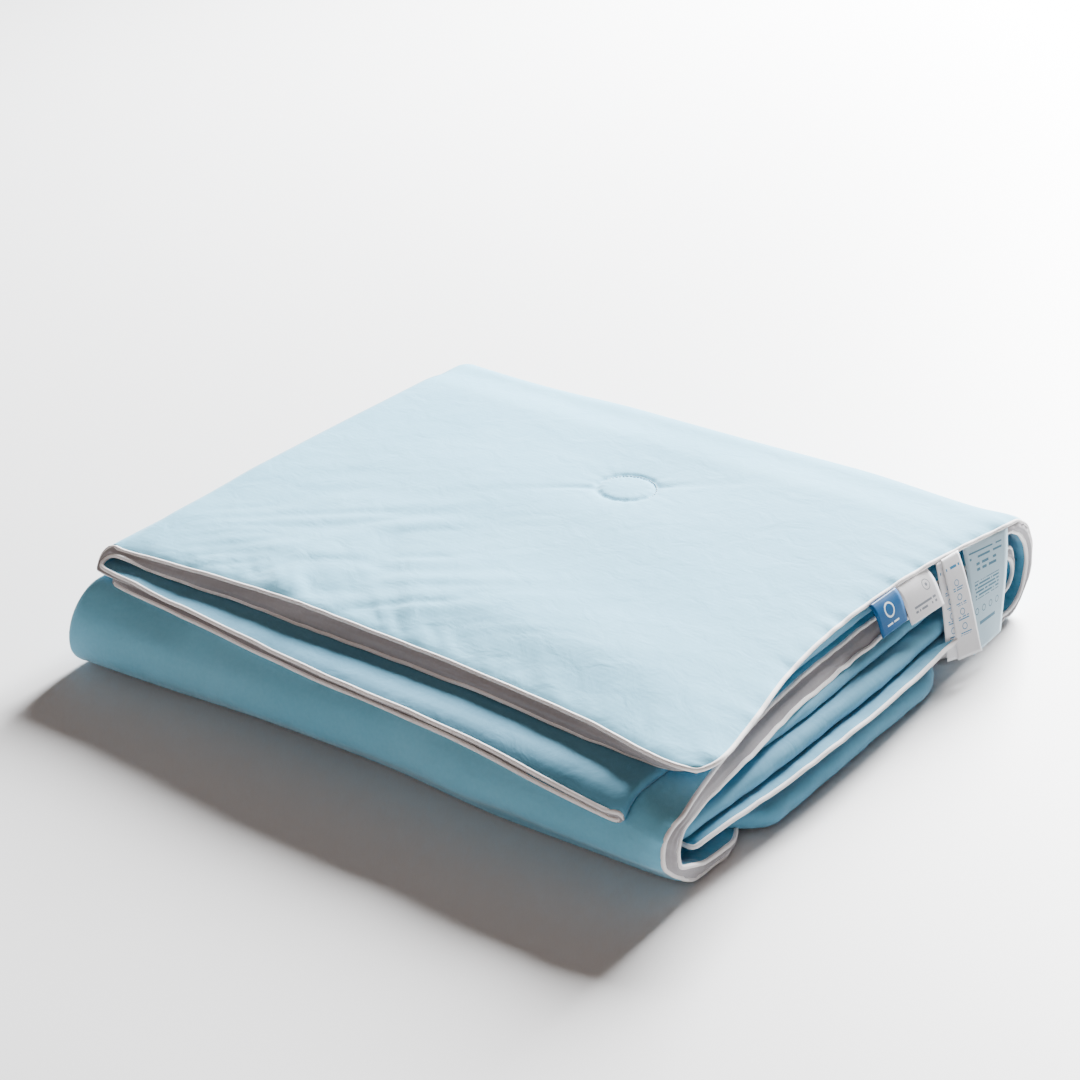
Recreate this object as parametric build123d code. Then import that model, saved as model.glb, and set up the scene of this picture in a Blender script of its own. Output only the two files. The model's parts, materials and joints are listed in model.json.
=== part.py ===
# A light summer quilt, folded for storage.
#
# The quilt is folded lengthwise into three leaves (a Z fold: T, L2, L3 from the outside
# in), and the strip that this makes is rolled up flat in four sections: one on top, one
# at the bottom, and two inside. Every leaf has the same layers, from its outer side A to
# its inner side B: a face panel, a filling and a back panel. A fabric band closes the
# quilt's cut edge all round, with a piping sewn along each side of the band.
#
# X runs along the front edge, Y from the front to the back, Z up. Millimetres.
import math
import os

from build123d import *

# The folded stack.
width = 667.0               # folded width: a third of the 2 m quilt
top_length = 500.0          # top section, from its front edge to the start of the back fold
pitch = 8.75                # height of one leaf in the stack
gap = 1.0                   # air between one leaf and the next
leaf = pitch - gap          # thickness of a pressed leaf
fold_setback = 40.0         # the right-hand Z fold lies this far inside the sewn edge
free_edge_setback = 33.0    # the innermost leaf ends this far inside the left-hand fold
front_fold_setback = 15.0   # the front fold's centre lies this far before the top edge
inner_end = 5.0             # front end of the innermost section

# The layers of a leaf.
panel = 0.8                 # a fabric panel with the wadding bonded to it
layer_gap = 0.1             # between the panels and the filling
face_layer = (0, panel)
filling_layer = (panel + layer_gap, leaf - panel - layer_gap)
back_layer = (leaf - panel, leaf)
whole_leaf = (0, leaf)

# The sewn edge.
band = 1.2                  # thickness of the edge band
piping_r = 2.2
trim_gap = 0.05             # between the band and a piping
corner_r = 20.0
bow_depth = 33.0            # the sewn side edge is drawn in by this much at its middle

# Tack rings: round quilting stitches through the whole leaf, three across by four along.
ring_r = 28.5
ring_wall = 0.6
ring_pitch = 530.0          # from one row to the next along the quilt
ring_first = 355.0          # from the quilt's end to the first row

# The top section lifts about the crease where it leaves the back fold. The upper part of
# the fold, over this angle, gives way to it.
yielding_angle = 60

# Labels in the side seam: name, start along Y, width along Y, length, thickness.
label_slope = 29.0          # how far they lean out from plumb
label_clearance = 1.5       # between the seam's trim and the label's root
labels = {
    "woven_tab_label": (300.0, 38.0, 24.0, 1.6),
    "loop_label": (341.0, 46.0, 38.0, 1.2),
    "care_label_front": (392.0, 24.0, 86.0, 0.4),
    "care_label_rear": (396.0, 24.0, 80.0, 0.4),
    "information_label": (441.0, 55.0, 92.0, 0.4),
}
care_leaf_step = 1.2        # the rear care leaf lies this far behind the front one

# Worked out from the dimensions above.
left_fold_x = leaf + gap / 2
right_fold_x = width - fold_setback - left_fold_x
free_edge_x = free_edge_setback
back_y = top_length
front_y = -front_fold_setback
back_fold_z = 6 * pitch
front_fold_z = 4.5 * pitch
trim_out = band + trim_gap + piping_r

# Sections of the roll: height of the sewn leaf's outer side, and 1 where it faces up.
TOP, BOTTOM, THIRD, INNER = (12 * pitch, 1), (0.0, -1), (9 * pitch, 1), (3 * pitch, -1)


def strip(x0, x1, z0, z1):
    """A rectangle in the X-Z plane."""
    return Pos((x0 + x1) / 2, (z0 + z1) / 2) * Rectangle(x1 - x0, abs(z1 - z0))


def half_ring(x, z, inner, outer, side):
    """Half of a ring about (x, z), on the left (side -1) or the right (side 1)."""
    ring = Circle(outer) - Circle(inner)
    return Pos(x, z) * (ring & Pos(side * outer, 0) * Rectangle(2 * outer, 4 * outer))


def z_fold(layer, section):
    """The Z-folded profile of one layer, between two depths below side A."""
    a, b = layer
    side_a, up = section

    def height(depth):
        return side_a - up * depth

    half, outer = gap / 2, left_fold_x
    return (
        strip(left_fold_x, width + band, height(half + a), height(half + b))
        + half_ring(left_fold_x, height(pitch), outer - b, outer - a, -1)
        + strip(left_fold_x, right_fold_x,
                height(2 * pitch - half - a), height(2 * pitch - half - b))
        + half_ring(right_fold_x, height(2 * pitch), half + a, half + b, 1)
        + strip(free_edge_x - band, right_fold_x,
                height(2 * pitch + half + a), height(2 * pitch + half + b))
    )


def run_y(profile, y0, y1):
    """An X-Z profile carried along Y from y0 to y1."""
    return Pos(0, y1, 0) * extrude(Plane.XZ * profile, amount=y1 - y0)


def turn(profile, y, z, angle, direction):
    """An X-Z profile turned about the X-parallel line through (y, z)."""
    return revolve(Pos(0, y, 0) * (Plane.XZ * profile),
                   axis=Axis((0, y, z), (direction, 0, 0)), revolution_arc=angle)


def bow(x, y0, y1):
    """A shallow inward bow from (x, y0) to (x, y1), in three tangent arcs."""
    half_span = (y1 - y0) / 2
    angle = 2 * math.degrees(math.atan(bow_depth / half_span))
    radius = half_span / (2 * math.sin(math.radians(angle)))
    first = JernArc((x, y0), (0, 1), radius, angle)
    middle = JernArc(first @ 1, first % 1, radius, -2 * angle)
    last = JernArc(middle @ 1, middle % 1, radius, angle)
    return [first, middle, last]


def top_edge_line(out):
    """The top leaf's edge, 'out' beyond the panels: the rounded front corner, then the bow."""
    corner = JernArc((width - corner_r, -out), (1, 0), corner_r + out, 90)
    return [corner, *bow(width + out, corner_r, back_y)]


def plate(edges, y0, y1):
    """A flat outline up to that edge line, thick enough to hold the whole stack."""
    far_left = -pitch
    start, end = edges[0] @ 0, edges[-1] @ 1
    outline = [*edges, Line(end, (far_left, y1)), Line((far_left, y1), (far_left, y0)),
               Line((far_left, y0), start)]
    return extrude(make_face(Wire(outline).edges()), amount=13 * pitch)


top_plate = plate(top_edge_line(0), 0, back_y)
top_plate_trimmed = plate(top_edge_line(band), -band, back_y)
third_plate = plate(bow(width, front_y, back_y), front_y, back_y)
third_plate_trimmed = plate(bow(width + band, front_y, back_y), front_y, back_y)


def layer_profile(layer, section):
    """One layer's Z-folded profile, without the width of the edge band."""
    side_a, up = section
    z_free = side_a - up * 2.5 * pitch
    free_end = Pos(free_edge_x - band, z_free) * Rectangle(2 * band, pitch)
    sewn_end = Pos(width + band, side_a - up * pitch / 2) * Rectangle(2 * band, pitch)
    return z_fold(layer, section) - free_end - sewn_end


def band_profile(section):
    """The edge band's two strips, at the sewn edge and at the innermost leaf's end."""
    side_a, up = section
    half = gap / 2
    return (
        strip(width, width + band, side_a - up * half, side_a - up * (half + leaf))
        + strip(free_edge_x - band, free_edge_x,
                side_a - up * (2 * pitch + half), side_a - up * (3 * pitch - half))
    )


def top_layer(layer):
    """One layer of the top section."""
    return run_y(layer_profile(layer, TOP), 0, back_y) & top_plate


def back_fold_upper(profile):
    """The part of the back fold that gives way as the top section opens."""
    return turn(profile, back_y, back_fold_z, yielding_angle, -1)


def roll_layer(layer):
    """One layer of everything under the top section, from the back fold inwards."""
    bottom = layer_profile(layer, BOTTOM)
    inner = layer_profile(layer, INNER)
    third = run_y(layer_profile(layer, THIRD), front_y, back_y) & third_plate
    return (
        turn(bottom, back_y, back_fold_z, 180 - yielding_angle, 1)
        + run_y(bottom, front_y, back_y)
        + turn(bottom, front_y, front_fold_z, 180, -1)
        + third
        + turn(inner, back_y, back_fold_z, 180, 1)
        + run_y(inner, inner_end, back_y)
    )


def top_band():
    """The top section's band: the front end, the bowed side and the innermost edge."""
    whole = run_y(z_fold(whole_leaf, TOP), -band, back_y) & top_plate_trimmed
    return whole - (run_y(layer_profile(whole_leaf, TOP), 0, back_y) & top_plate)


def roll_band():
    """The band of everything under the top section."""
    bottom, inner = band_profile(BOTTOM), band_profile(INNER)
    third = run_y(z_fold(whole_leaf, THIRD), front_y, back_y) & third_plate_trimmed
    third -= run_y(layer_profile(whole_leaf, THIRD), front_y, back_y) & third_plate
    end = run_y(z_fold(whole_leaf, INNER), inner_end - band, inner_end)
    return (
        turn(bottom, back_y, back_fold_z, 180 - yielding_angle, 1)
        + run_y(bottom, front_y, back_y)
        + turn(bottom, front_y, front_fold_z, 180, -1)
        + third
        + turn(inner, back_y, back_fold_z, 180, 1)
        + run_y(inner, inner_end, back_y)
        + end
    )


def tube(edges):
    """A piping along a line of straight and round stretches."""
    path = Wire(edges)
    return sweep(Plane(origin=path @ 0, z_dir=path % 0) * Circle(piping_r), path=path)


def level(edges, z):
    """The same edges, lifted to height z."""
    return [Pos(0, 0, z) * edge for edge in edges]


def fold_arc(x, y, z, radius, start, size):
    """A round stretch of piping about the X-parallel line through (y, z)."""
    return Pos(x, 0, 0) * (Plane.YZ * CenterArc((y, z), radius, start, size))


def z_fold_line(y, section, side, x_end):
    """The piping's line across a section's end, from the innermost leaf outwards."""
    side_a, up = section
    half = gap / 2
    inset = half + piping_r if side == "A" else half + leaf - piping_r
    depths = [inset, 2 * pitch - inset, 2 * pitch + inset]
    sewn_z, middle_z, free_z = [side_a - up * depth for depth in depths]
    far_fold = CenterArc((right_fold_x, side_a - up * 2 * pitch), inset, -90 * up, 180 * up)
    near_fold = CenterArc((left_fold_x, side_a - up * pitch), pitch - inset, -90 * up,
                          -180 * up)
    lines = [
        Line((free_edge_x, free_z), (right_fold_x, free_z)),
        far_fold,
        Line((right_fold_x, middle_z), (left_fold_x, middle_z)),
        near_fold,
        Line((left_fold_x, sewn_z), (x_end, sewn_z)),
    ]
    return [Pos(0, y, 0) * (Plane.XZ * line) for line in lines]


def piping_height(section, side):
    """Height of the sewn edge's piping on side A or side B."""
    side_a, up = section
    inset = gap / 2 + (piping_r if side == "A" else leaf - piping_r)
    return side_a - up * inset


def free_height(section, side):
    """Height of the innermost edge's piping on side A or side B."""
    side_a, up = section
    inset = 2 * pitch + gap / 2 + (piping_r if side == "A" else leaf - piping_r)
    return side_a - up * inset


def top_piping(side):
    """The top section's piping: across the front end, round the corner, along the side."""
    z = piping_height(TOP, side)
    across = z_fold_line(-trim_out, TOP, side, width - corner_r)
    around = level(top_edge_line(trim_out), z)
    z_free = free_height(TOP, side)
    x_free = free_edge_x - trim_out
    inner_edge = tube([Line((x_free, 0, z_free), (x_free, back_y, z_free))])
    return tube(across + around) + inner_edge


def back_fold_piping(side):
    """The two pipings that cross the upper part of the back fold."""
    sewn_r = piping_height(TOP, side) - back_fold_z
    free_r = free_height(TOP, side) - back_fold_z
    start = 90 - yielding_angle
    return (
        tube([fold_arc(width + trim_out, back_y, back_fold_z, sewn_r, start, yielding_angle)])
        + tube([fold_arc(free_edge_x - trim_out, back_y, back_fold_z, free_r, start,
                         yielding_angle)])
    )


def spiral_line(x, heights, bowed):
    """One edge's line through the lower back fold, the bottom, the front fold, the third
    section, the inner back fold and the inner section."""
    bottom_z, third_z, inner_z = heights
    third = level(bow(x, front_y, back_y), third_z) if bowed else \
        [Line((x, front_y, third_z), (x, back_y, third_z))]
    swing = 180 - yielding_angle
    return [
        fold_arc(x, back_y, back_fold_z, back_fold_z - bottom_z, -90, swing),
        Line((x, back_y, bottom_z), (x, front_y, bottom_z)),
        fold_arc(x, front_y, front_fold_z, front_fold_z - bottom_z, 90, 180),
        *third,
        fold_arc(x, back_y, back_fold_z, third_z - back_fold_z, -90, 180),
        Line((x, back_y, inner_z), (x, inner_end, inner_z)),
    ]


def roll_piping(side):
    """The pipings of everything under the top section."""
    sewn = [piping_height(section, side) for section in (BOTTOM, THIRD, INNER)]
    free = [free_height(section, side) for section in (BOTTOM, THIRD, INNER)]
    end = z_fold_line(inner_end - trim_out, INNER, side, width)
    return (
        tube(spiral_line(width + trim_out, sewn, True))
        + tube(spiral_line(free_edge_x - trim_out, free, False))
        + tube(end)
    )


def tack_rings(section, y):
    """The three tack rings of one section, each through one leaf at its middle."""
    side_a, up = section
    ring = Cylinder(ring_r, leaf) - Cylinder(ring_r - ring_wall, leaf)
    heights = [side_a - up * pitch * (count + 0.5) for count in range(3)]
    return [Pos(width / 2, y, height) * ring for height in heights]


def ring_places():
    """Where the four rows of tack rings lie, from the top section inwards."""
    back_arc = math.pi * 4.5 * pitch
    front_arc = math.pi * 3 * pitch
    inner_arc = math.pi * 1.5 * pitch
    section_length = back_y - front_y
    bottom_starts = top_length + back_arc
    third_starts = bottom_starts + section_length + front_arc
    inner_starts = third_starts + section_length + inner_arc
    rows = [ring_first + ring_pitch * row for row in range(4)]
    return {
        TOP: rows[0],
        BOTTOM: back_y - (rows[1] - bottom_starts),
        THIRD: front_y + (rows[2] - third_starts),
        INNER: back_y - (rows[3] - inner_starts),
    }


def edge_x_over(start, across):
    """How far out the top leaf's bowed edge reaches between two places along Y."""
    edge = Wire(bow(width, corner_r, back_y))
    return max(
        point.X for point in (edge @ (step / 300) for step in range(301))
        if start - 2 < point.Y < start + across + 2
    )


def label_seam(start, across):
    """The hinge line of a label: x and z of the seam that holds its root."""
    x = edge_x_over(start, across) + trim_out + piping_r + label_clearance
    return x, TOP[0] - pitch / 2


def label(name):
    """A flat label that leans out from the side seam, down to its length."""
    start, across, length, thick = labels[name]
    x, z = label_seam(*labels["care_label_front"][:2]) if name.startswith("care") \
        else label_seam(start, across)
    if name == "care_label_rear":
        x -= care_leaf_step
    flap = Pos(0, start + across / 2, -length / 2) * Box(thick, across, length)
    flap = fillet(flap.edges().filter_by(Axis.X), 1.5)
    hinge = Axis((0, 0, 0), (0, 1, 0))
    return Pos(x, 0, z) * flap.rotate(hinge, -label_slope)


rings = ring_places()
nodes = {
    "top_face_panel": top_layer(face_layer),
    "top_filling": top_layer(filling_layer),
    "top_back_panel": top_layer(back_layer),
    "top_edge_band": top_band(),
    "top_face_piping": top_piping("A"),
    "top_back_piping": top_piping("B"),
    "back_fold_face_panel": back_fold_upper(layer_profile(face_layer, TOP)),
    "back_fold_filling": back_fold_upper(layer_profile(filling_layer, TOP)),
    "back_fold_back_panel": back_fold_upper(layer_profile(back_layer, TOP)),
    "back_fold_edge_band": back_fold_upper(band_profile(TOP)),
    "back_fold_face_piping": back_fold_piping("A"),
    "back_fold_back_piping": back_fold_piping("B"),
    "roll_face_panel": roll_layer(face_layer),
    "roll_filling": roll_layer(filling_layer),
    "roll_back_panel": roll_layer(back_layer),
    "roll_edge_band": roll_band(),
    "roll_face_piping": roll_piping("A"),
    "roll_back_piping": roll_piping("B"),
    "top_tack_rings": Compound(children=tack_rings(TOP, rings[TOP])),
    "roll_tack_rings": Compound(children=[
        ring for section in (BOTTOM, THIRD, INNER)
        for ring in tack_rings(section, rings[section])
    ]),
}
nodes.update({name: label(name) for name in labels})

# The origin is the middle of the bottom of the whole folded quilt.
boxes = [shape.bounding_box() for shape in nodes.values()]
middle_x = (min(box.min.X for box in boxes) + max(box.max.X for box in boxes)) / 2
middle_y = (min(box.min.Y for box in boxes) + max(box.max.Y for box in boxes)) / 2
to_origin = Pos(-middle_x, -middle_y, -gap / 2)

os.makedirs("parts", exist_ok=True)
for name, shape in nodes.items():
    export_step(to_origin * shape, f"parts/{name}.step")
    box = shape.bounding_box()
    print(f"{name}: {shape.volume / 1000:.1f} cm3, {box.size.X:.1f} x {box.size.Y:.1f} "
          f"x {box.size.Z:.1f} mm")

print(f"origin shift: {-middle_x:.2f}, {-middle_y:.2f}, {-gap / 2:.2f} mm")
for name, (start, across, *_) in labels.items():
    x, z = label_seam(start, across)
    print(f"{name} seam: {x - middle_x:.2f}, {z - gap / 2:.2f} mm")
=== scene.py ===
# %% [markdown]
# # A folded summer quilt
# The quilt is one large padded cloth. It is folded in three across its width, and the
# strip that this makes is rolled up flat: one section on top, one at the bottom and two
# inside. The plan of this file is the plan of the fold. First a map says where any place
# on the flat quilt ends up in the stack. Then the padded body, the grey edge band and the
# white pipings are all drawn from that one map, so that they meet wherever they are sewn.

import json
import math

import bpy
import numpy as np
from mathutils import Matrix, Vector

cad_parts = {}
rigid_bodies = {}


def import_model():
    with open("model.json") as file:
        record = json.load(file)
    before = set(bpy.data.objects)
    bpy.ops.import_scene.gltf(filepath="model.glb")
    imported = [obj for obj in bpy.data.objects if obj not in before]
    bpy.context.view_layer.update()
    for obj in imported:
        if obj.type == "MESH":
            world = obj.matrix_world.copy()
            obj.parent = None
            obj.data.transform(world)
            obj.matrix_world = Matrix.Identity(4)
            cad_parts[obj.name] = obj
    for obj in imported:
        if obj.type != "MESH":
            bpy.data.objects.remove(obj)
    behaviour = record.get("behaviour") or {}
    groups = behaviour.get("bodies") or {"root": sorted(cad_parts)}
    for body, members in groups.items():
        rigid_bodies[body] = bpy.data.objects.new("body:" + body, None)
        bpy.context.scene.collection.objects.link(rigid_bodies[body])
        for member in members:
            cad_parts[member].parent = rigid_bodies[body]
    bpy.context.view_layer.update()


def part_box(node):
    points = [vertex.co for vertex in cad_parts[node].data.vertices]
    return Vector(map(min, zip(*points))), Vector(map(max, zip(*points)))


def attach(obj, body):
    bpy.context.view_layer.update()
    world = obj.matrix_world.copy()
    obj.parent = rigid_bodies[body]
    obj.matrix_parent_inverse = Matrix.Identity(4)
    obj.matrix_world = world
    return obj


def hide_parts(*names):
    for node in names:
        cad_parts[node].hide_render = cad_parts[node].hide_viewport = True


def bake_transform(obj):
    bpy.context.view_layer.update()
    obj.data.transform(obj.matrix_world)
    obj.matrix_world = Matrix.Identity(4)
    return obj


for leftover in list(bpy.data.objects):
    bpy.data.objects.remove(leftover)
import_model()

# %% [markdown]
# ## The camera
# The quilt is seen from in front and to the right, from above, with a longer lens than
# usual, so that its edges stay nearly parallel. It comes first, because everything else
# is judged through it.

# %% Camera
SENSOR_WIDTH, FOCAL_LENGTH = 36.0, 77.68                   # millimetres
CAMERA_FROM_CORNER = Vector((0.8593, -1.2326, 0.9780))     # metres
LOOKING_ALONG = Vector((-0.56205, 0.68794, -0.45917))
CAMERA_TILT = math.radians(-2.5)

face_low, face_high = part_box("top_face_panel")
roll_low, roll_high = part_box("roll_face_panel")
near_corner = Vector((face_high.x, face_low.y, face_high.z))
bpy.ops.object.select_all(action="DESELECT")
bpy.ops.object.camera_add(location=near_corner + CAMERA_FROM_CORNER)
camera = bpy.context.object
camera.name = "camera"
camera.data.sensor_width, camera.data.lens = SENSOR_WIDTH, FOCAL_LENGTH
camera.rotation_euler = LOOKING_ALONG.to_track_quat("-Z", "Y").to_euler()
camera.rotation_euler.rotate_axis("Z", CAMERA_TILT)
bpy.context.scene.camera = camera
print("camera at", [round(n, 3) for n in camera.location])

# %% [markdown]
# ## The stack's dimensions
# Twelve leaves lie on one another. The frame gives the stack's height, so it gives the
# height of a leaf as well, and from it the centres and radii of the folds.

# %% Dimensions
LEAVES = 12
SKIN_GAP = 0.0003                    # air between two leaves, each side
left_x, right_x = face_low.x, face_high.x
front_y, back_y = face_low.y, face_high.y
pitch = (face_high.z + 0.0005) / LEAVES
stack_z = LEAVES * pitch
section_length = back_y - front_y
BIG_FOLD = 6 * pitch                 # outer radius of the back fold
FRONT_FOLD = 4.5 * pitch             # outer radius of the front fold
INNER_FOLD = 3 * pitch               # outer radius of the fold inside the roll
front_centre_y = roll_low.y + FRONT_FOLD
inner_front_y = front_centre_y + 0.004
print(f"a leaf is {pitch * 1000:.2f} mm high, the quilt is {right_x - left_x:.3f} m wide")

# %% [markdown]
# ## Soft steps and smooth lines
# The quilt's edges bend gently from place to place. A Bezier curve could carry each line,
# but here the lines shape whole surfaces, so they are needed as numbers: `curve_through`
# draws a smooth line through a few points, and `smooth` and `bump` fade an effect in and
# out without a kink.


# %% Soft steps and smooth lines
def smooth(t):
    """0 below 0, 1 above 1, and a soft step between."""
    t = np.clip(t, 0.0, 1.0)
    return t * t * (3 - 2 * t)


def bump(at, start, end, edge):
    """1 between start and end, 0 outside, with soft edges."""
    return smooth((at - start) / edge + 0.5) * smooth((end - at) / edge + 0.5)


def curve_through(at, places, values):
    """A smooth line through a few points (places rise)."""
    places, values = np.asarray(places, float), np.asarray(values, float)
    slopes = np.gradient(values, places)
    at = np.clip(at, places[0], places[-1])
    index = np.clip(np.searchsorted(places, at) - 1, 0, len(places) - 2)
    span = places[index + 1] - places[index]
    t = (at - places[index]) / span
    a, b = values[index], values[index + 1]
    ma, mb = slopes[index] * span, slopes[index + 1] * span
    return (
        (2 * t**3 - 3 * t**2 + 1) * a + (t**3 - 2 * t**2 + t) * ma
        + (-2 * t**3 + 3 * t**2) * b + (t**3 - t**2) * mb
    )


print("a soft step at a quarter:", round(float(smooth(0.25)), 3))

# %% [markdown]
# ## Uneven cloth
# Cloth is never even. A Displace modifier could make it so, but two pieces that are sewn
# together would then move apart. `soft_noise` gives a seeded, random height for a place on
# the cloth, so that every piece that is sewn there gets the same one.


# %% Smooth noise
def soft_noise(a, b, seed):
    """Smooth noise from -1 to 1 over the plane (a, b), with features one unit wide."""
    size = 64
    table = np.random.default_rng(seed).uniform(-1, 1, (size, size))
    ia, ib = np.floor(a).astype(int), np.floor(b).astype(int)
    fa, fb = smooth(a - ia), smooth(b - ib)

    def knot(da, db):
        return table[(ia + da) % size, (ib + db) % size]

    low = knot(0, 0) * (1 - fa) + knot(1, 0) * fa
    high = knot(0, 1) * (1 - fa) + knot(1, 1) * fa
    return low * (1 - fb) + high * fb


print("noise at one place:", round(float(soft_noise(0.3, 0.6, 1)), 3))

# %% [markdown]
# ## The map, part 1: stations along the roll
# A place along the quilt is a station: 0 to 1 is the top section from its front edge to
# the back, 1 to 2 the big back fold, 2 to 3 the bottom section, 3 to 4 the front fold, 4
# to 5 the third section, 5 to 6 the inner back fold and 6 to 7 the innermost section. At
# each station a depth below the outer side gives a point in the Y-Z plane.


# %% From station and depth to Y and Z
def around(centre_y, centre_z, radius, angle):
    return centre_y + radius * np.cos(angle), centre_z + radius * np.sin(angle)


def roll_place(station, depth):
    """Y and Z of a place in the rolled strip."""
    part = np.clip(np.floor(station), 0, 6).astype(int)
    share = station - part
    span = back_y - front_centre_y
    turn = math.pi * share
    choices = [
        (front_y + share * (back_y - front_y), stack_z - depth),
        around(back_y, BIG_FOLD, BIG_FOLD - depth, math.pi / 2 - turn),
        (back_y - share * span, 0 * share + depth),
        around(front_centre_y, FRONT_FOLD, FRONT_FOLD - depth, -math.pi / 2 - turn),
        (front_centre_y + share * span, 2 * FRONT_FOLD - depth),
        around(back_y, BIG_FOLD, INNER_FOLD - depth, math.pi / 2 - turn),
        (back_y - share * (back_y - inner_front_y), INNER_FOLD + depth),
    ]
    y = np.select([part == k for k in range(7)], [c[0] for c in choices])
    z = np.select([part == k for k in range(7)], [c[1] for c in choices])
    return y, z


print("the big back fold reaches", round(float(roll_place(np.array(1.5), 0.0)[0]), 4))


# %% [markdown]
# ## The map, part 2: where the edges lie
# The sewn edge doesn't run straight: the cloth is drawn in along its sides, and the
# leaves slip over each other. These lines say how far each edge is from its plain place,
# all in metres: `sewn_edge` for the long side with the labels, and `fold_reach` for the
# Z fold beside it. `sewn_depth` says how open the band is.

# %% The sewn edge along the roll
ALONG = [0, 0.04, 0.15, 0.33, 0.52, 0.69, 0.88, 1]         # shares of a section


def sewn_edge(station, side):
    """How far the sewn edge's seam on side A or B lies from the right-hand side."""
    share = station - np.clip(np.floor(station), 0, 6)
    drawn_in = curve_through(share, ALONG, [0, 0.002, -0.006, -0.025, -0.033, -0.030,
                                            -0.017, -0.004])
    third = curve_through(share, ALONG, [0.0, -0.006, -0.020, -0.034, -0.038, -0.037,
                                         -0.020, -0.008])
    bottom = -0.030 * bump(1 - share, 0.15, 0.80, 0.16) - 0.002
    if side == "A":
        values = [drawn_in, -0.004 + 0.002 * share, bottom, -0.002 + 0.002 * share,
                  third, -0.008 - 0.002 * share, -0.010 + 0 * share]
    else:
        tucked = -0.013 * smooth((1 - share) / 0.10)
        values = [drawn_in + tucked, -0.004 + 0.006 * share,
                  bottom + 0.002, 0.000 + 0.004 * np.sin(math.pi * share),
                  third + 0.014 * smooth(share / 0.25) * smooth((1 - share) / 0.2),
                  -0.008 + 0.006 * share, -0.002 + 0.014 * np.sin(math.pi * share)]
    part = np.clip(np.floor(station), 0, 6)
    return np.select([part == k for k in range(7)], values)


def sewn_depth(station):
    """How deep below side A the band reaches at the sewn edge."""
    stations = [0, 0.5, 0.9, 1.3, 2, 2.3, 2.75, 2.95, 3, 3.5, 4, 4.15, 5, 6, 7]
    depths = [8, 10, 12, 19, 14, 8, 8, 15, 18, 19.5, 18, 16.5, 15, 12, 11]
    return curve_through(station, stations, np.array(depths) / 1000)


def fold_reach(station):
    """How far the Z fold beside the sewn edge lies from the right-hand side."""
    share = station - np.clip(np.floor(station), 0, 6)
    part = np.clip(np.floor(station), 0, 6)
    bulge = 0.040 * bump(1 - share, 0.13, 0.76, 0.16)
    values = [-0.036 - 0.006 * share, -0.042 + 0.012 * share, -0.030 + bulge,
              -0.030 + 0.010 * share, -0.020 + 0.006 * np.sin(math.pi * share),
              -0.020 + 0.010 * share, -0.010 + 0.008 * np.sin(math.pi * share)]
    return np.select([part == k for k in range(7)], values)


middle_station = np.array(0.5)
print("at mid-section the edge is drawn in by", round(float(-sewn_edge(middle_station, "A")), 4),
      "and the band is", round(float(sewn_depth(middle_station)), 4), "deep")

# %% [markdown]
# ## The map, part 3: the front edge
# At the front end of the top section the three leaves don't end on one line. The outer
# leaf, T, lies back, and the two leaves inside it, L2 and L3, have slipped forwards. Each
# line gives the distance behind the plain front edge for a few places across the quilt.

# %% The front edge of the top section
ACROSS = [0, 0.2, 0.46, 0.55, 0.69, 0.84, 0.95, 1]         # shares of the quilt's width


def front_line(across, leaf):
    """How far back the front edge lies: outer leaf sides TA and TB, inner leaf sides."""
    lines = {
        "TA": [0.004, 0.018, 0.022, 0.022, 0.019, 0.010, -0.002, 0.0],
        "TB": [-0.002, 0.011, 0.013, 0.013, 0.011, 0.006, 0.008, 0.012],
        "L2B": [-0.015, -0.022, -0.034, -0.035, -0.037, -0.045, -0.049, -0.048],
        "inner": [-0.011, -0.019, -0.030, -0.031, -0.034, -0.041, -0.044, -0.044],
        "L3B": [-0.016, -0.025, -0.034, -0.035, -0.038, -0.045, -0.047, -0.047],
    }
    return curve_through(across, ACROSS, lines[leaf])


print("half-way across, leaf L2 lies", round(float(-front_line(0.5, "L2B")), 4), "forwards")


# %% [markdown]
# ## The map, part 4: how thick the leaves are
# Every leaf is one pitch high where it lies flat. The band holds the cloth open at the sewn
# edge and at the front end, and the leaves under it are pressed thin there. The bottom
# section sags where nothing lies under it. All depths are measured from the top down.

# %% How deep each leaf lies
FRONT_BAND_HEIGHT = 0.0165           # the band at the top leaf's front end
PRESSED_REACH = 0.045                # how far back the front band presses the leaves
SLIPPED_END = 0.020                  # the slipped leaves are pressed from here to their end
DRAPE_LENGTH = 0.16                  # the front end's own shape fades over this length
PIPING_ROOM = 0.0016                 # room for the piping under the front band
SWELL_REACH = 0.030                  # the outer leaf swells this near its sewn edge
LOOSE_FOLD, LOOSE_REACH = 0.0022, 0.05
SAG, SAG_REACH = 0.0080, 0.035


def share_across(x):
    """0 at the left of the quilt and 1 at its right-hand side."""
    return (x - left_x) / (right_x - left_x)


def edge_fall(distance, reach):
    """1 at an edge and 0 further in than reach."""
    return 1 - smooth(distance / reach)


def outer_back_depth(x, station):
    """Depth of side B of the outer leaf, which swells towards the sewn edge."""
    flat = pitch - SKIN_GAP
    edge_x = right_x + sewn_edge(station, "B")
    return flat + (sewn_depth(station) - flat) * edge_fall(edge_x - x, SWELL_REACH)


def pressed(x, stretch, share, station):
    """1 where the open front band presses the leaves under it, and 0 further back."""
    front = np.where(station < 1, station * section_length, 1.0)
    forwards = front_line(share_across(x), "inner") * (1 - smooth(front / DRAPE_LENGTH))
    slipped = np.maximum(front + forwards - SLIPPED_END, 0)
    inside = np.where(stretch == 1, smooth(share), stretch > 0)
    from_end = front * (1 - inside) + slipped * inside
    return np.exp(-((from_end / PRESSED_REACH) ** 2))


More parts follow.
